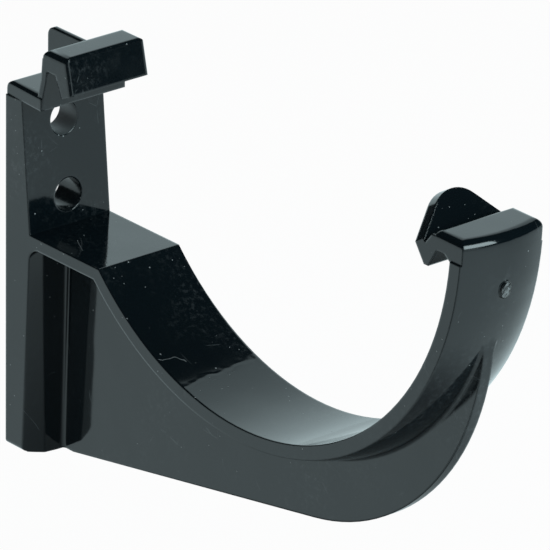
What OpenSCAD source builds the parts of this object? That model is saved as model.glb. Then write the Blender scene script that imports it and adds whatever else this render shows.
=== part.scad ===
// Gutter bracket: one injection-moulded piece that carries a half-round gutter on a fascia board.
// Frame: the wall plane is X = 0 and X points away from the wall, Y runs along the gutter and
// Z is up. The origin is on the wall plane, midway between the two screw holes.

/* [Gutter seat] */
// Radius of the seat that the gutter lies in
seat_r = 57; // [54:0.5:60]
// Gap between the wall plane and the back of the gutter
wall_gap = 11.9; // [11.5:0.1:13]
// Height of the gutter's centre line above the middle of the screw holes
seat_z = 26.3; // [25:0.1:28]
// Thickness of the cradle strap at its two sides
strap_t = 2.8; // [2.2:0.1:3.6]
// Extra thickness of the strap at mid width, where its outer face is crowned
crown = 1.8; // [0.6:0.1:2.4]
// Width of the strap, the shelf and the back plate
body_w = 19.2; // [16:0.2:26]

/* [Back plate] */
// Top of the plate above the middle of the screw holes
plate_up = 13; // [12:0.1:14]
// Lowest point of the plate below the middle of the screw holes
plate_down = 59.2; // [54:0.2:62]
// Thickness of the plate at its top
plate_top_t = 4.8; // [4:0.1:6]
// Thickness of the plate at its sides, level with the shelf
plate_shelf_t = 7.2; // [6.4:0.1:7.8]
// Thickness of the plate at its sides, at its foot
plate_side_t = 4.9; // [4.2:0.1:5.6]
// Thickness of the plate at mid width, just under the shelf
plate_mid_t = 8.4; // [8:0.1:9]
// Thickness of the plate at mid width, at its foot
plate_foot_t = 7; // [6.4:0.1:7.6]
// Angle of the bevels down both sides of the plate, below the shelf
bevel_angle = 28; // [22:1:34]
// Radius of the shallow curve along the plate's lower end
foot_curve_r = 60; // [40:1:90]
// Radius of the plate's lower corners
foot_corner_r = 1; // [0.5:0.1:2]

/* [Screw holes] */
// Diameter of each screw hole
hole_d = 6.4; // [4.5:0.1:7]
// Distance between the screw holes
hole_spacing = 15; // [12:0.5:16]

/* [Shelf] */
// Depth of the shelf's top face below the middle of the screw holes
shelf_down = 13.2; // [12.6:0.1:14]
// Thickness of the shelf
shelf_t = 2.5; // [2:0.1:3.2]
// Radius of the fillet between the shelf and the plate below it
shelf_fillet_r = 3.3; // [2:0.1:4]

/* [Web] */
// Thickness of the central web
web_t = 2.4; // [1.8:0.1:3.4]
// Radius of the web's outer curve
web_r = 54.8; // [53:0.1:57]
// Distance of that curve's centre in front of the gutter's centre line
web_fore = 2.5; // [1.5:0.1:3.5]
// Distance of that curve's centre below the gutter's centre line
web_drop = 19.1; // [18:0.1:21]
// Slope of the web's straight lower edge
web_rise = 9.8; // [9:0.1:11]
// Radius of the fillets between the web and the plate
web_fillet_r = 1.3; // [0.6:0.1:2]
// Radius of the fillets between the web and the strap
strap_fillet_r = 1; // [0.5:0.1:1.6]

/* [Clips] */
// Distance that the ends of each clip stand in from the sides of the body
clip_inset = 0.3; // [0.2:0.1:1]
// Radius of the rounded edges at the back of the arm and of the rear cap
back_round_r = 2; // [1:0.1:2.5]

/* [Rear clip] */
// Thickness of the arm on top of the plate
arm_t = 3; // [2.4:0.1:3.4]
// Distance that each end of the arm flares out from the wall plane to the rear leg
arm_flare = 0.6; // [0.2:0.1:1]
// Distance from the wall plane to the back of the rear leg
rear_leg_x = 9.6; // [9:0.1:10]
// Thickness of the rear leg at the arm
rear_leg_t = 1.4; // [1.1:0.1:1.6]
// Height of the rear cap above the plate
rear_cap_up = 12.3; // [11.8:0.1:14]
// Radius of the rounded corners at the ends of the rear cap
rear_corner_r = 1.5; // [0.8:0.1:2.4]
// Width of the slot for the gutter's back rim, at its inner end
rear_slot_w = 2.6; // [2.2:0.1:3]
// Depth of material over that slot
rear_roof_t = 4.2; // [3:0.1:5]
// Height of the hook in front of the slot
rear_hook_h = 7; // [6:0.1:8]
// Thickness of the hook at its lower end
rear_hook_t = 2.9; // [2:0.1:3.6]
// Radius of the rounded edges down both ends of the cap's front
hook_edge_r = 0.9; // [0.6:0.1:1.5]
// Thickness of the fin behind the cap
fin_t = 1.2; // [1.1:0.1:3]
// Height of the fin above the plate
fin_up = 12; // [8:0.1:12]
// Distance from the wall plane to the back edge of the fin
fin_gap = 1.2; // [0.5:0.1:3]
// Radius of the fin's top corner
fin_corner_r = 2; // [1:0.1:3]

/* [Front clip] */
// Depth of the front cap's top below the gutter's centre line
front_cap_down = 0.4; // [0:0.1:1]
// Length of the front cap, from the front of the strap to its rear edge
front_cap_l = 7.3; // [6.4:0.1:8]
// Depth of the barb's tip below the cap's top
barb_h = 7.4; // [7:0.1:9]
// Depth of material over the slot for the gutter's front rim
front_roof_t = 3.7; // [3:0.1:4.4]
// Radius of the rounded corners at the ends of the front clip
front_corner_r = 1.6; // [0.8:0.1:2.4]
// Radius of the cap's front edge
cap_front_r = 2; // [1:0.1:2.6]
// Height of the release tongue, measured along its slope
tongue_h = 7; // [5:0.1:8]
// Thickness of the release tongue
tongue_t = 2.6; // [1.6:0.1:2.8]
// Lean of the release tongue towards the wall
tongue_lean = 30; // [24:1:36]
// Radius of the tongue's rounded tip
tongue_tip_r = 6; // [5:0.1:7.5]

/* [Gate mark] */
// Height of the gate mark above the middle of the screw holes
gate_z = 14.8; // [8:0.2:18]
// Distance of the gate mark to one side of mid width
gate_y = 0.2; // [0:0.2:5]
// Width of the gate mark
gate_w = 2.4; // [1.6:0.1:3]
// Height of the gate mark
gate_h = 3.3; // [3.1:0.1:4.5]
// Distance that the gate mark stands out of the strap
gate_out = 0.4; // [0.2:0.05:0.5]

/* [Hidden] */
$fn = 128;
big = 300;
fill_bite = 0.4;
fill_sink = 0.05;
web_foot_up = 0.2;

seat_x = wall_gap + seat_r;
shell_r = seat_r + strap_t;
crown_r = (body_w * body_w / 4 + crown * crown) / (2 * crown);
crown_x = shell_r + crown - crown_r;
shelf_z = -shelf_down;
shelf_under_z = shelf_z - shelf_t;
shelf_end_x = seat_x - sqrt(seat_r * seat_r - (seat_z - shelf_z) * (seat_z - shelf_z));
clip_w = body_w - 2 * clip_inset;

arm_top_z = plate_up + arm_t;
arm_fillet_r = 1.8;
arm_corner_r = 1;
leg_lean = 1.1;
foot_ledge = 0.3;
foot_rise = 9;
rear_top_z = plate_up + rear_cap_up;
slot_lean = 0.8;
hook_lean = 1.6;
hook_bevel = 1.3;
slot_x = rear_leg_x + rear_leg_t + slot_lean;
rear_front_x = slot_x + rear_slot_w + 1.8 + rear_hook_t;
edge_round_r = 0.5;

front_top_z = seat_z - front_cap_down;
cap_rear_x = seat_x + shell_r - front_cap_l;
cap_rear_r = 1;
barb_tip_t = 1.2;
tongue_back = 5.3;
notch_down = 3.9;
strap_end_down = 4.5;

// An outline drawn as (x, z), made w thick and centred on mid width
module across(w) { rotate([90, 0, 0]) linear_extrude(w, center = true) children(); }

// An outline drawn as (y, z), run out along X from x0 to x1
module outward(x0, x1) {
    translate([x0, 0, 0]) rotate([90, 0, 90]) linear_extrude(x1 - x0) children();
}

// What a fillet of radius r adds in a square corner at the origin that opens towards (sx, sy).
// It reaches back into both walls, and its arc stops a little short of tangent to them.
module corner_fill(r, sx, sy) {
    difference() {
        translate([sx > 0 ? -fill_bite : -r, sy > 0 ? -fill_bite : -r]) square(r + fill_bite);
        translate([sx * r, sy * r] * (1 - fill_sink / r)) circle(r);
    }
}

// What rounding to radius r takes off a square corner at the origin that points to (sx, sy)
module corner_trim(r, sx, sy) {
    difference() {
        translate([sx > 0 ? -r : -1, sy > 0 ? -r : -1]) square(r + 1);
        translate([-sx * r, -sy * r]) circle(r);
    }
}

// A band w wide from z0 up to z1 with both upper corners rounded
module rounded_band(w, z0, z1, r) {
    difference() {
        translate([-w / 2, z0]) square([w, z1 - z0]);
        for (side = [-1, 1])
            translate([side * w / 2, z1]) corner_trim(r, side, 1);
    }
}

// ---- Back plate ----

module upper_plate() {
    across(body_w) polygon([
        [0, plate_up], [plate_top_t, plate_up], [plate_shelf_t, shelf_z],
        [plate_shelf_t, shelf_under_z], [0, shelf_under_z]]);
}

module foot_outline() {
    side_z = foot_curve_r - plate_down
        - sqrt(foot_curve_r * foot_curve_r - body_w * body_w / 4);
    difference() {
        intersection() {
            translate([-body_w / 2, -plate_down - 1]) square([body_w, plate_down + shelf_z + 1]);
            translate([0, foot_curve_r - plate_down]) circle(foot_curve_r);
        }
        for (side = [-1, 1])
            translate([side * body_w / 2, side_z]) corner_trim(foot_corner_r, side, -1);
    }
}

// The space in front of the bevel down the plate's side at -Y
module bevel_space() {
    drop = plate_down - shelf_down;
    taper = atan((plate_shelf_t - plate_side_t) / drop);
    translate([plate_shelf_t, -body_w / 2, shelf_z])
        rotate([0, taper, 0]) rotate([0, 0, -bevel_angle])
            translate([0, -body_w, -2 * drop]) cube([body_w, 3 * body_w, 3 * drop]);
}

module lower_plate() {
    difference() {
        intersection() {
            across(body_w) polygon([
                [0, shelf_z], [plate_mid_t, shelf_z],
                [plate_foot_t, -plate_down], [0, -plate_down]]);
            outward(-1, plate_mid_t + 1) foot_outline();
        }
        bevel_space();
        mirror([0, 1, 0]) bevel_space();
    }
}

module screw_holes() {
    for (z = [-hole_spacing / 2, hole_spacing / 2])
        translate([-1, 0, z]) rotate([0, 90, 0]) cylinder(h = plate_shelf_t + 2, d = hole_d);
}

// ---- Shelf and cradle strap ----

module shelf_profile() {
    translate([1, shelf_under_z]) square([shelf_end_x - 1, shelf_t]);
    translate([plate_shelf_t - 0.3, shelf_under_z]) corner_fill(shelf_fillet_r, 1, -1);
}

// All that lies inside the crowned outer face of the strap, w wide
module crowned_disc(w) {
    translate([seat_x, 0, seat_z]) rotate([90, 0, 0]) rotate_extrude() {
        translate([0, -w / 2]) square([crown_x + 1, w]);
        intersection() {
            translate([crown_x, 0]) circle(crown_r);
            translate([crown_x, -w / 2]) square([crown_r + 1, w]);
        }
    }
}

// The strap is a ring round the gutter, from the shelf's end down and up to the front cap
module strap() {
    intersection() {
        crowned_disc(body_w);
        across(body_w + 2) difference() {
            union() {
                translate([0, -big]) square([big, big + shelf_z]);
                translate([seat_x, -big]) square([big, big + front_top_z - strap_end_down]);
            }
            translate([seat_x, seat_z]) circle(seat_r);
        }
    }
}

// ---- Web under the shelf and the strap ----

module web_profile() {
    curve = [seat_x + web_fore, seat_z - web_drop];
    touch = curve + web_r * [sin(web_rise), -cos(web_rise)];
    foot_z = web_foot_up - plate_down;
    foot_x = touch[0] - (touch[1] - foot_z) / tan(web_rise);
    difference() {
        union() {
            polygon([
                [1, shelf_under_z + 1], [1, foot_z], [foot_x, foot_z], touch,
                [touch[0], shelf_under_z + 1]]);
            intersection() {
                translate(curve) circle(web_r);
                translate([touch[0] - fill_sink, -big]) square([big, big + seat_z]);
            }
        }
        translate([seat_x, seat_z]) circle(seat_r + strap_t / 2);
    }
}

// Fillets along the plate, which lean with the plate's front face
module plate_fillets() {
    drop = plate_down - shelf_down;
    taper = atan((plate_mid_t - plate_foot_t) / drop);
    intersection() {
        translate([plate_mid_t, 0, shelf_z]) rotate([0, taper, 0])
            translate([0, 0, -2 * drop]) linear_extrude(2 * drop)
                for (side = [-1, 1])
                    translate([0, side * web_t / 2]) corner_fill(web_fillet_r, 1, side);
        across(body_w) web_profile();
    }
}

// Fillets along the strap's outer face
module strap_fillets() {
    intersection() {
        translate([seat_x, 0, seat_z]) rotate([90, 0, 0]) rotate_extrude()
            for (side = [-1, 1])
                translate([shell_r + crown - 2 * fill_sink, side * web_t / 2])
                    corner_fill(strap_fillet_r, 1, side);
        across(body_w) intersection() {
            web_profile();
            translate([shelf_end_x, -big]) square([big, big + seat_z]);
        }
    }
}

// ---- Rear clip ----

// All that lies inside one end of the arm, with its top edge rounded
module arm_end(side) {
    translate([0, side * clip_w / 2, 0]) rotate([0, 0, side * atan(arm_flare / rear_leg_x)])
        outward(-2, rear_leg_x + 3) difference() {
            translate([side > 0 ? -1.5 * clip_w : 0, plate_up - 1]) square([1.5 * clip_w, arm_t + 1]);
            translate([0, arm_top_z]) corner_trim(arm_corner_r, side, 1);
        }
}

module arm() {
    intersection() {
        across(2 * body_w) difference() {
            union() {
                translate([0, plate_up]) square([rear_leg_x + rear_leg_t, arm_t]);
                translate([0, plate_up - 1]) square([plate_top_t / 2, 2]);
            }
            translate([0, arm_top_z]) corner_trim(back_round_r, -1, 1);
        }
        arm_end(-1);
        arm_end(1);
    }
    across(clip_w - 2 * rear_corner_r)
        translate([rear_leg_x + leg_lean / 4, arm_top_z]) corner_fill(arm_fillet_r, -1, 1);
}

// Rear leg, cap and front hook, open below for the gutter's back rim
module rear_hook_profile() {
    slot_z = rear_top_z - rear_roof_t;
    hook_z = rear_top_z - rear_hook_h;
    difference() {
        polygon([
            [rear_leg_x, plate_up], [rear_leg_x + leg_lean, rear_top_z],
            [rear_front_x - hook_lean, rear_top_z], [rear_front_x, hook_z],
            [rear_front_x - rear_hook_t, hook_z - hook_bevel], [slot_x + rear_slot_w, slot_z],
            [slot_x, slot_z], [rear_leg_x + rear_leg_t, plate_up]]);
        translate([rear_leg_x + leg_lean, rear_top_z]) corner_trim(back_round_r, -1, 1);
        translate([rear_front_x - hook_lean, rear_top_z]) corner_trim(edge_round_r, 1, 1);
    }
}

// The rear leg spreads at its foot to nearly the width of the arm
module leg_foot() {
    foot_w = clip_w + 2 * arm_flare - foot_ledge;
    intersection() {
        across(2 * body_w) rear_hook_profile();
        outward(0, slot_x + 1) polygon([
            [-foot_w / 2, plate_up], [-foot_w / 2, arm_top_z], [-clip_w / 2 + 1, arm_top_z + foot_rise],
            [clip_w / 2 - 1, arm_top_z + foot_rise], [foot_w / 2, arm_top_z], [foot_w / 2, plate_up]]);
    }
}

module rear_hook() {
    leg_foot();
    difference() {
        intersection() {
            across(clip_w) rear_hook_profile();
            outward(0, 3 * rear_leg_x)
                rounded_band(clip_w, plate_up - 1, rear_top_z, rear_corner_r);
        }
        for (side = [-1, 1])
            translate([rear_front_x - hook_lean, side * clip_w / 2, rear_top_z])
                rotate([0, -atan(hook_lean / rear_hook_h), 0])
                    translate([0, 0, -2 * rear_hook_h]) linear_extrude(3 * rear_hook_h)
                        corner_trim(hook_edge_r, 1, side);
    }
}

module fin() {
    fin_top_z = plate_up + fin_up;
    intersection() {
        across(fin_t) difference() {
            translate([fin_gap, arm_top_z - 1])
                square([slot_lean + rear_leg_x + leg_lean - fin_gap, fin_up - arm_t + 1]);
            translate([fin_gap, fin_top_z]) corner_trim(fin_corner_r, -1, 1);
        }
        outward(0, 2 * rear_leg_x) rounded_band(fin_t, plate_up, fin_top_z, edge_round_r);
    }
}

// ---- Front clip ----

// Cap with its barb, open below for the gutter's front rim
module front_hook_profile() {
    tip_z = front_top_z - barb_h;
    slot_z = front_top_z - front_roof_t;
    notch_z = front_top_z - notch_down;
    inner_x = seat_x + seat_r;
    outer_x = seat_x + shell_r + crown + 1;
    difference() {
        polygon([
            [cap_rear_x - tongue_back + tongue_t, notch_z + 0.6], [cap_rear_x, front_top_z],
            [outer_x, front_top_z], [outer_x, tip_z + 2],
            [inner_x - 0.2, tip_z + 2], [inner_x - 0.6, slot_z - 1], [inner_x - 2, slot_z],
            [inner_x - 4, slot_z], [inner_x - 6.2, tip_z],
            [inner_x - 6.2 - barb_tip_t, tip_z], [cap_rear_x - tongue_back, notch_z]]);
        translate([cap_rear_x, front_top_z]) corner_trim(cap_rear_r, -1, 1);
    }
}

// The rounding of the cap's front edge, which follows the crown of the outer face
module front_round() {
    translate([seat_x + crown_x, 0, front_top_z]) rotate_extrude() difference() {
        translate([0, -2 * barb_h]) square([crown_r, 2 * barb_h + 1]);
        translate([crown_r, 0]) corner_trim(cap_front_r, 1, 1);
    }
}

module front_hook() {
    intersection() {
        across(clip_w) front_hook_profile();
        outward(seat_x, seat_x + 2 * shell_r)
            rounded_band(clip_w, front_top_z - 2 * barb_h, front_top_z, front_corner_r);
        crowned_disc(body_w);
        front_round();
    }
}

// The tongue's outline: sides at 45 degrees that run into one round tip
module tongue_outline() {
    side_w = clip_w / 2;
    tip_s = tongue_h - tongue_tip_r;
    run = tongue_tip_r * sin(45);
    intersection() {
        union() {
            polygon([[-side_w, -2], [side_w, -2], [side_w, 0], [run, tip_s + run],
                [-run, tip_s + run], [-side_w, 0]]);
            translate([0, tip_s]) circle(tongue_tip_r);
        }
        translate([-side_w, -2]) square([2 * side_w, 2 * tongue_h]);
    }
}

module tongue() {
    foot = [cap_rear_x - tongue_back, front_top_z - notch_down];
    intersection() {
        translate([foot[0], 0, foot[1]]) rotate([0, -tongue_lean, 0])
            outward(0, tongue_t) tongue_outline();
        across(body_w) translate(foot)
            polygon([[0, 0], [-big, big], [big, big], [big, -1.5], [1.5, -1.5]]);
    }
}

// Mark left where the plastic was fed in, on the outside of the strap
module gate_mark() {
    drop = seat_z - gate_z;
    mid_r = shell_r + crown;
    at = [seat_x + sqrt(mid_r * mid_r - drop * drop), 0, gate_z];
    lean = asin(drop / mid_r);
    translate(at) rotate([0, lean, 0]) outward(-1, gate_out) {
        for (side = [-1, 1]) translate([gate_y, side * (gate_h - gate_w) / 2]) circle(d = gate_w);
        translate([gate_y - gate_w / 2, -(gate_h - gate_w) / 2]) square([gate_w, gate_h - gate_w]);
    }
}

module bracket() {
    color([0.06, 0.065, 0.07]) difference() {
        union() {
            upper_plate();
            lower_plate();
            across(body_w) shelf_profile();
            strap();
            across(web_t) web_profile();
            plate_fillets();
            strap_fillets();
            arm();
            rear_hook();
            fin();
            front_hook();
            tongue();
            gate_mark();
        }
        screw_holes();
    }
}

bracket();
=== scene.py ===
import math
from functools import reduce

import bpy
from mathutils import Matrix, Vector


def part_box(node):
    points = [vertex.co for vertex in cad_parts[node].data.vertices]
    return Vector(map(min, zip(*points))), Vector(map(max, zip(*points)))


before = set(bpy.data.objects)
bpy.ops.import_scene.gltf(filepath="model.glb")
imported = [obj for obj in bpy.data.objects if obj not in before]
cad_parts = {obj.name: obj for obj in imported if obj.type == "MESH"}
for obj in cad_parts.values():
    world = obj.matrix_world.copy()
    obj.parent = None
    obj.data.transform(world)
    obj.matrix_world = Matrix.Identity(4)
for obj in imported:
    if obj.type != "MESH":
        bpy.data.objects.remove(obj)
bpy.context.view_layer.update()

scene = bpy.context.scene
scene.view_settings.view_transform = "Standard"
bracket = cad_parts["bracket"]
low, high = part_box("bracket")


# Node graphs as Python: a Sock wraps one output and its operators add Math nodes
class Sock:
    def __init__(self, graph, socket):
        self.graph, self.socket = graph, socket

    def other(self, name):  # another output of the same node
        return Sock(self.graph, self.socket.node.outputs[name])

    def math(self, operation, *others, **settings):
        return self.graph.math(operation, self, *others, **settings)

    def __add__(self, other): return self.math("ADD", other)
    def __sub__(self, other): return self.math("SUBTRACT", other)
    def __mul__(self, other): return self.math("MULTIPLY", other)
    def __truediv__(self, other): return self.math("DIVIDE", other)
    def __pow__(self, other): return self.math("POWER", other)
    def __gt__(self, other): return self.math("GREATER_THAN", other)
    def __lt__(self, other): return self.math("LESS_THAN", other)
    def __radd__(self, other): return self.graph.math("ADD", other, self)
    def __rsub__(self, other): return self.graph.math("SUBTRACT", other, self)
    def __rmul__(self, other): return self.graph.math("MULTIPLY", other, self)
    def __rtruediv__(self, other): return self.graph.math("DIVIDE", other, self)
    def __rpow__(self, other): return self.graph.math("POWER", other, self)
    def __abs__(self): return self.math("ABSOLUTE")

    def most(self, other): return self.math("MAXIMUM", other)
    def least(self, other): return self.math("MINIMUM", other)
    def clamped(self): return self.math("ADD", 0.0, use_clamp=True)

    def ramp(self, start, full):  # smooth step from 0 at start to 1 at full
        values = {"Value": self, "From Min": start, "From Max": full}
        return self.graph.node("ShaderNodeMapRange", values, interpolation_type="SMOOTHSTEP")

    def vector(self, operation, *others, output=0):
        values = dict(enumerate((self,) + others))
        return self.graph.node("ShaderNodeVectorMath", values, output, operation=operation)

    def parts(self):  # x, y and z of a vector
        x = self.graph.node("ShaderNodeSeparateXYZ", {0: self})
        return x, x.other("Y"), x.other("Z")


class Graph:
    def __init__(self, owner):
        if hasattr(owner, "use_nodes"):
            owner.use_nodes = True
        self.tree = getattr(owner, "node_tree", owner)
        self.tree.nodes.clear()

    def node(self, kind, values=None, output=0, **settings):
        made = self.tree.nodes.new(kind)
        for name, value in settings.items():
            setattr(made, name, value)
        for name, value in (values or {}).items():
            if isinstance(value, Sock):
                self.tree.links.new(value.socket, made.inputs[name])
            else:
                made.inputs[name].default_value = value
        return Sock(self, made.outputs[output]) if made.outputs else made

    def math(self, operation, *values, **settings):
        return self.node("ShaderNodeMath", dict(enumerate(values)), operation=operation, **settings)

    def mixColour(self, factor, first, second):  # inputs 6 and 7 and output 2 are its colours
        values = {0: factor, 6: first, 7: second}
        return self.node("ShaderNodeMix", values, output=2, data_type="RGBA")


def noise(place, scale, detail, rough=0.5):
    values = {"Vector": place, "Scale": scale, "Detail": detail, "Roughness": rough}
    return place.graph.node("ShaderNodeTexNoise", values)


def patchy(place, p):  # a mask of soft blotches
    return noise(place, *p["noise"]).ramp(*p["edge"])


def length(x, y):
    return (x * x + y * y) ** 0.5


def turned(x, y, degrees):  # how far ahead and how far to the left along a bearing
    c, s = math.cos(math.radians(degrees)), math.sin(math.radians(degrees))
    return x * c + y * s, x * -s + y * c


def outward(azimuth, elevation):  # unit vector towards a direction given in degrees
    turn, rise = math.radians(azimuth), math.radians(elevation)
    flat = math.cos(rise)
    return Vector((flat * math.cos(turn), flat * math.sin(turn), math.sin(rise)))


# Camera: a long lens that looks down on the bracket from its front corner
view = {
    "aim": (0.06092, 0.00520, -0.00699),
    "distance": 1.46319,
    "azimuth": -40.167,
    "elevation": 23.265,
    "roll": 0.872,
    "lens": 523.64,
    "farthest": 50.0,
}


def makeCamera(v):
    data = bpy.data.cameras.new("camera")
    data.lens = v["lens"]
    data.clip_end = v["farthest"]
    back = outward(v["azimuth"], v["elevation"])
    right = Vector((0, 0, 1)).cross(back).normalized()
    up = back.cross(right)
    c, s = math.cos(math.radians(v["roll"])), math.sin(math.radians(v["roll"]))
    pose = Matrix((c * right + s * up, c * up - s * right, back)).transposed().to_4x4()
    pose.translation = Vector(v["aim"]) + v["distance"] * back
    camera = bpy.data.objects.new("camera", data)
    camera.matrix_world = pose
    scene.collection.objects.link(camera)
    scene.camera = camera


makeCamera(view)
print("camera placed")


# Moulding: the bracket itself, its facets joined into smooth faces with crisp edges
moulding = {
    "join": 1e-6,
    "edgeAngle": 24.0,
    "faceWeight": 80,
}


def makeCreases(m):  # smooth faces, sharp where they meet at more than the edge angle
    tree = bpy.data.node_groups.new("creases", "GeometryNodeTree")
    for way in ("INPUT", "OUTPUT"):
        tree.interface.new_socket("Geometry", in_out=way, socket_type="NodeSocketGeometry")
    g = Graph(tree)
    gentle = g.node("GeometryNodeInputMeshEdgeAngle") < math.radians(m["edgeAngle"])
    shape = g.node("NodeGroupInput")
    for domain, smooth in (("FACE", True), ("EDGE", gentle)):
        values = {"Geometry": shape, "Shade Smooth": smooth}
        shape = g.node("GeometryNodeSetShadeSmooth", values, domain=domain)
    g.node("NodeGroupOutput", {0: shape})
    return tree


def smoothFaces(item, m):
    weld = item.modifiers.new("weld", "WELD")
    weld.merge_threshold = m["join"]
    item.modifiers.new("creases", "NODES").node_group = makeCreases(m)
    normals = item.modifiers.new("normals", "WEIGHTED_NORMAL")
    normals.keep_sharp = True
    normals.weight = m["faceWeight"]


smoothFaces(bracket, moulding)
print("faces smoothed")


# Glossy black plastic: soft moulded edges, a slightly wavy skin, dust and handling marks.
# Lengths are in metres. An edge is where a mask starts and where it is full, and a noise is
# its scale, detail and roughness.
plastic = {
    "colour": (0.0022, 0.0048, 0.0065, 1.0),
    "scuffColour": (0.040, 0.050, 0.054, 1.0),
    "dustColour": (0.27, 0.31, 0.32, 1.0),
    "ior": 1.5,
    "roughness": 0.07,
    "uneven": {"noise": (160.0, 3.0), "edge": (0.4, 0.8), "rougher": 0.03},
    "bevel": {"radius": 0.00055, "samples": 8},
    "waves": {"noise": (80.0, 1.0), "height": 0.00009},
    "dust": {
        "grains": ((380.0, 0.085, 0.38), (750.0, 0.15, 0.48)),  # scale, reach in cells, share
        "smallest": 0.35,
        "grainEdge": (0.0, 0.6),
        "patches": {"noise": (70.0, 3.0), "edge": (0.35, 0.7)},
        "elsewhere": 0.3,  # how much lies between the patches
        "cover": 0.75,
        "height": 0.00004,
        "rougher": 0.4,
    },
    "fibres": {
        "width": 0.00011,
        "wobbleNoise": (420.0, 1.0),
        "wobble": 0.0016,
        "inCradle": {
            "path": ((0.04506, -0.00906), (0.0458, -0.00599), (0.04731, -0.00446)),
            "height": -0.0260,
            "reach": 0.0012,
            "strength": 0.42,
        },
        "onShelf": {
            "path": ((0.01456, -0.0039), (0.01665, -0.00509), (0.01885, -0.00613)),
            "height": -0.0132,
            "reach": 0.0003,
            "strength": 0.25,
        },
    },
    "sink": {
        "place": 0.0518,
        "skew": 0.12,
        "swayNoise": (260.0, 1.0),
        "sway": 0.0040,
        "width": 0.0011,
        "depth": 0.00002,
        "lowest": -0.0300,
    },
    "haze": {
        "noise": (900.0, 3.0, 0.7),
        "edge": (0.48, 0.72),
        "patches": {"noise": (45.0, 3.0), "edge": (0.42, 0.72)},
        "cover": 0.55,
    },
    "hairs": {
        "scale": 75.0,
        "width": 0.008,  # in cells
        "edge": (0.0, 0.8),
        "bendNoise": (30.0, 2.0),
        "bend": 0.012,
        "patches": {"noise": (160.0, 2.0), "edge": (0.60, 0.68)},
        "cover": 0.7,
    },
    "scuff": {"depth": 0.000004, "rougher": 0.10},
    "bores": {
        "heights": (0.0075, -0.0075),
        "rougher": (0.38, 0.10),
        "paler": (1.0, 0.0),
        "radius": 0.0032,
        "outside": 1.02,
        "depth": 0.012,
        "chalk": 0.12,
    },
    "gate": {
        "place": (0.1298, 0.0002, 0.0148),
        "shape": (1.0, 1.0, 0.65),
        "reach": 0.0013,
        "rim": 0.75,
        "height": 0.0011,
        "rougher": 0.15,
        "tornNoise": (1100.0, 2.0),
        "tornEdge": (0.42, 0.62),
        "tornCover": 0.55,
    },
    "halo": {
        "reach": 0.0050,
        "core": 0.2,
        "noise": (380.0, 3.0, 0.7),
        "edge": (0.45, 0.7),
        "paler": 0.35,
        "rougher": 0.08,
    },
}


def dustMask(spot, d):  # grains of two sizes that gather in patches
    g = spot.graph
    spread = d["elsewhere"] + patchy(spot, d["patches"]) * (1.0 - d["elsewhere"])
    layers = []
    for scale, reach, share in d["grains"]:
        cell = g.node("ShaderNodeTexVoronoi", {"Vector": spot, "Scale": scale})
        pick = g.node("ShaderNodeSeparateColor", {"Color": cell.other("Color")})
        size = (d["smallest"] + pick.other("Green") * (1.0 - d["smallest"])) * reach
        layers.append((1.0 - cell / size).ramp(*d["grainEdge"]) * (pick < spread * share))
    return reduce(Sock.most, layers)


def fibreMask(spot, f):  # fine fibres that lie in the cradle and on the shelf
    x, y, z = spot.parts()
    shift = (noise(spot, *f["wobbleNoise"]) - 0.5) * f["wobble"]
    x, y = x + shift, y - shift
    fibres = []
    for fibre in (f["inCradle"], f["onShelf"]):
        gaps = []
        for (ax, ay), (bx, by) in zip(fibre["path"], fibre["path"][1:]):
            dx, dy = bx - ax, by - ay
            square = dx * dx + dy * dy
            along = ((x - ax) * (dx / square) + (y - ay) * (dy / square)).clamped()
            gaps.append(length(x - ax - along * dx, y - ay - along * dy))
        line = 1.0 - reduce(Sock.least, gaps).ramp(f["width"] / 2, f["width"])
        level = abs(z - fibre["height"]) < fibre["reach"]
        fibres.append(line * level * fibre["strength"])
    return reduce(Sock.most, fibres)


def sinkMask(spot, s):  # a faint hollow line across the cradle
    x, y, z = spot.parts()
    sway = (noise(spot, *s["swayNoise"]) - 0.5) * s["sway"]
    gap = abs(x + y * s["skew"] + sway - s["place"])
    return (1.0 - gap / s["width"]).ramp(0.0, 1.0) * (z > s["lowest"])


def scuffMask(spot, haze, hairs):  # a fine haze in patches, and short hairline scratches
    dull = patchy(spot, haze) * patchy(spot, haze["patches"]) * haze["cover"]
    bend = hairs["bend"]
    shift = noise(spot, *hairs["bendNoise"]).other("Color")
    shift = shift.vector("MULTIPLY_ADD", (bend,) * 3, (-bend / 2,) * 3)
    values = {"Vector": spot.vector("ADD", shift), "Scale": hairs["scale"]}
    line = spot.graph.node("ShaderNodeTexVoronoi", values, feature="DISTANCE_TO_EDGE")
    line = (1.0 - line / hairs["width"]).ramp(*hairs["edge"]) * patchy(spot, hairs["patches"])
    return dull.most(line * hairs["cover"]).clamped()


def boreMasks(spot, b):  # how matt and how pale the core pins leave the screw holes
    x, y, z = spot.parts()
    matt, pale = 0.0, 0.0
    for height, rougher, paler in zip(b["heights"], b["rougher"], b["paler"]):
        inside = 1.0 - length(y, z - height).ramp(b["radius"], b["radius"] * b["outside"])
        inside = inside * (x < b["depth"])
        matt, pale = matt + inside * rougher, pale + inside * paler
    return matt, pale


def gateMasks(spot, gate, halo):  # the broken-off moulding gate and the bloom round it
    away = spot.vector("SUBTRACT", gate["place"]).vector("MULTIPLY", gate["shape"])
    away = away.vector("LENGTH", output="Value")
    stub = 1.0 - away.ramp(gate["reach"] * gate["rim"], gate["reach"])
    bloom = 1.0 - away.ramp(halo["reach"] * halo["core"], halo["reach"])
    return stub, bloom * patchy(spot, halo)


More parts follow.
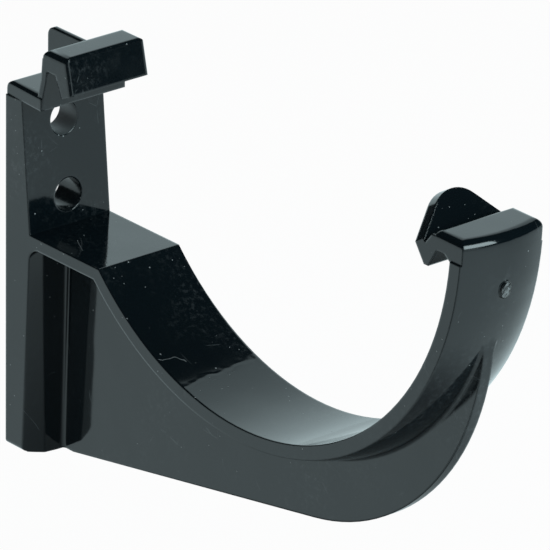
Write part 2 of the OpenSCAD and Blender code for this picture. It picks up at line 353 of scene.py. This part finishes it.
def makePlastic(p):
    material = bpy.data.materials.new("glossPlastic")
    g = Graph(material)
    spot = g.node("ShaderNodeTexCoord", output="Object")
    grains, scuffs, bores, gate, halo = (p[k] for k in ("dust", "scuff", "bores", "gate", "halo"))
    dust = dustMask(spot, grains).most(fibreMask(spot, p["fibres"]))
    sink = sinkMask(spot, p["sink"])
    scuff = scuffMask(spot, p["haze"], p["hairs"])
    matt, pale = boreMasks(spot, bores)
    stub, bloom = gateMasks(spot, gate, halo)
    torn = noise(spot, *gate["tornNoise"])

    lumps = dust * grains["height"] + stub * torn * gate["height"]
    lumps = lumps - scuff * scuffs["depth"] - sink * p["sink"]["depth"]
    bevel = p["bevel"]
    skin = g.node("ShaderNodeBevel", {"Radius": bevel["radius"]}, samples=bevel["samples"])
    waves = noise(spot, *p["waves"]["noise"])
    for height, distance in ((waves, p["waves"]["height"]), (lumps, 1.0)):
        values = {"Height": height, "Distance": distance, "Strength": 1.0, "Normal": skin}
        skin = g.node("ShaderNodeBump", values)

    worn = (scuff + bloom * halo["paler"] + pale).clamped()
    dusty = dust * grains["cover"] + stub * torn.ramp(*gate["tornEdge"]) * gate["tornCover"]
    dusty = (dusty + pale * bores["chalk"]).clamped()
    colour = g.mixColour(worn, p["colour"], p["scuffColour"])
    colour = g.mixColour(dusty, colour, p["dustColour"])

    rough = p["roughness"] + patchy(spot, p["uneven"]) * p["uneven"]["rougher"] + matt
    for mask, mark in ((dust, grains), (scuff, scuffs), (bloom, halo), (stub, gate)):
        rough = rough + mask * mark["rougher"]
    shader = g.node("ShaderNodeBsdfPrincipled", {
        "Base Color": colour, "Roughness": rough.clamped(), "IOR": p["ior"], "Normal": skin})
    g.node("ShaderNodeOutputMaterial", {"Surface": shader})
    return material


bracket.data.materials.clear()
bracket.data.materials.append(makePlastic(plastic))
print("plastic finished")


# The studio is white to the eye and has its patches of light and dark only in reflections
white = (1.0, 1.0, 1.0, 1.0)
cool = (0.80, 1.0, 1.04, 1.0)

# Floor: pale in the gloss, with a painted shadow along the bracket, painted pools of light and a
# painted dark patch on one side
paleFloor = {
    "radius": 2.8,
    "sides": 96,
    "drop": 0.03,
    "colour": (0.86, 0.86, 0.86, 1.0),
    "selfLit": 0.93,
    "glow": 0.98,
    "fall": 0.20,
    "fallEdge": (-0.1, 0.6),
    "pools": ((0.33, 0.0, 0.05, 0.22), (0.05, 0.15, 0.02, 0.10)),  # x, y, full within, gone past
    "poolGlow": 0.32,
    "shade": {"x": 0.075, "y": 0.01, "half": 0.032, "edge": (0.015, 0.085), "least": 0.12},
    "darkPatch": {
        "x": 0.045,
        "y": -0.05,
        "turn": -64.0,
        "half": 36.0,
        "edge": (0.0, 0.03),
        "dark": 0.95,
    },
    "paleGap": {"edge": (0.03, 0.09), "far": (0.3, 0.5), "clear": 0.65},  # a paler part of the painted dark patch
}


# How bright the floor looks in reflections: a painted shadow along the bracket, painted pools of
# light, a painted fall-off and a painted dark patch with a paler part
def floorGlow(spot, f):
    x, y, _ = spot.parts()
    shade, darkPatch, paleGap = f["shade"], f["darkPatch"], f["paleGap"]
    past = (abs(x - shade["x"]) - shade["half"]).most(0.0)
    bare = length(past, y - shade["y"]).ramp(*shade["edge"])
    # A painted dark patch on one side of the bracket, with a paler part across it; nothing stands
    # there
    ahead, across = turned(x - darkPatch["x"], y - darkPatch["y"], darkPatch["turn"])
    dark = (ahead * math.tan(math.radians(darkPatch["half"])) - abs(across)).ramp(*darkPatch["edge"])
    clear = across.ramp(*paleGap["edge"]) * (1.0 - ahead.ramp(*paleGap["far"])) * paleGap["clear"]
    glow = f["glow"] - (x + y).ramp(*f["fallEdge"]) * f["fall"]
    # Painted pools of light on the floor
    for poolX, poolY, full, gone in f["pools"]:
        pool = 1.0 - length(x - poolX, y - poolY).ramp(full, gone)
        glow = glow + pool * f["poolGlow"]
    glow = glow * (shade["least"] + bare * (1.0 - shade["least"]))
    return glow * (1.0 - dark * (1.0 - clear) * darkPatch["dark"])


def makeFloor(f):
    bpy.ops.mesh.primitive_circle_add(vertices=f["sides"], radius=f["radius"], fill_type="NGON")
    floor = bpy.context.object
    floor.name = "floor"
    floor.location = (0, 0, low.z - f["drop"])
    material = bpy.data.materials.new("paleFloor")
    g = Graph(material)
    camera = g.node("ShaderNodeLightPath", output="Is Camera Ray")
    glossy = camera.other("Is Glossy Ray")
    seen = camera.most(glossy).most(camera.other("Is Transmission Ray"))
    glow = floorGlow(g.node("ShaderNodeTexCoord", output="Object"), f)
    tone = g.mixColour(glossy, white, cool)
    level = 1.0 + glossy * (glow - 1.0)
    lit = g.node("ShaderNodeVectorMath", {0: tone, "Scale": level}, operation="SCALE")
    matt = g.node("ShaderNodeBsdfDiffuse", {"Color": f["colour"]})
    lit = g.node("ShaderNodeEmission", {"Color": lit, "Strength": 1.0})
    above = g.node("ShaderNodeMixShader", {0: seen * f["selfLit"], 1: matt, 2: lit})
    below = g.node("ShaderNodeNewGeometry", output="Backfacing")  # clear to look up through
    clear = g.node("ShaderNodeBsdfTransparent")
    surface = g.node("ShaderNodeMixShader", {0: below, 1: above, 2: clear})
    g.node("ShaderNodeOutputMaterial", {"Surface": surface})
    floor.data.materials.append(material)


makeFloor(paleFloor)
print("floor laid")


# Room: a pale backdrop behind the bracket and a low bright strip, in an otherwise dim studio
room = {
    "dim": 0.02,
    "ambient": 0.6,
    "backdrop": {
        "turn": 140.0,
        "top": (1.14, 1.22),
        "side": (0.73, 0.83),
        "front": 0.02,
        "strength": 1.15,
        "fall": 0.24,
        "fallEdge": (0.30, 0.95),
    },
    "strip": {"turn": -6.0, "sides": (21.0, 15.0), "tops": (6.0, 10.0), "strength": 1.3},
}


def makeWorld(r):
    world = bpy.data.worlds.new("studio")
    scene.world = world
    g = Graph(world)
    camera = g.node("ShaderNodeLightPath", output="Is Camera Ray")
    glossy = camera.other("Is Glossy Ray")
    x, y, z = g.node("ShaderNodeTexCoord", output="Generated").parts()
    panel, strip = r["backdrop"], r["strip"]

    ahead, across = turned(x, y, panel["turn"])
    rise = z / ahead
    inside = (1.0 - rise.ramp(*panel["top"])) * (1.0 - (abs(across) / ahead).ramp(*panel["side"]))
    level = panel["strength"] - rise.ramp(*panel["fallEdge"]) * panel["fall"]
    sky = inside * (ahead > panel["front"]) * level + r["dim"]

    flat = length(x, y)
    ahead, _ = turned(x, y, strip["turn"])
    sides = (math.cos(math.radians(side)) for side in strip["sides"])
    tops = (math.tan(math.radians(top)) for top in strip["tops"])
    inside = (ahead / flat).ramp(*sides) * (1.0 - (z / flat).ramp(*tops))
    sky = sky.most(inside * strip["strength"])

    level = camera + (1.0 - camera) * (glossy * sky + (1.0 - glossy) * r["ambient"])
    tone = g.mixColour(glossy, white, cool)
    light = g.node("ShaderNodeBackground", {"Color": tone, "Strength": level})
    g.node("ShaderNodeOutputWorld", {"Surface": light})


makeWorld(room)
print("room lit")


# Soft box: one square lamp high in front of the bracket
softBox = {
    "aim": (0.12, 0.0, 0.0),
    "azimuth": 14.0,
    "elevation": 32.0,
    "distance": 1.0,
    "size": 0.50,
    "strength": 8.0,
}


def makeSoftBox(b):
    out = outward(b["azimuth"], b["elevation"])
    data = bpy.data.lights.new("softBox", "AREA")
    data.shape = "SQUARE"
    data.size = b["size"]
    data.energy = b["strength"] * math.pi * b["size"] ** 2
    data.color = cool[:3]
    lamp = bpy.data.objects.new("softBox", data)
    lamp.location = Vector(b["aim"]) + b["distance"] * out
    lamp.rotation_euler = out.to_track_quat("Z", "Y").to_euler()
    scene.collection.objects.link(lamp)


makeSoftBox(softBox)
print("stage ready")
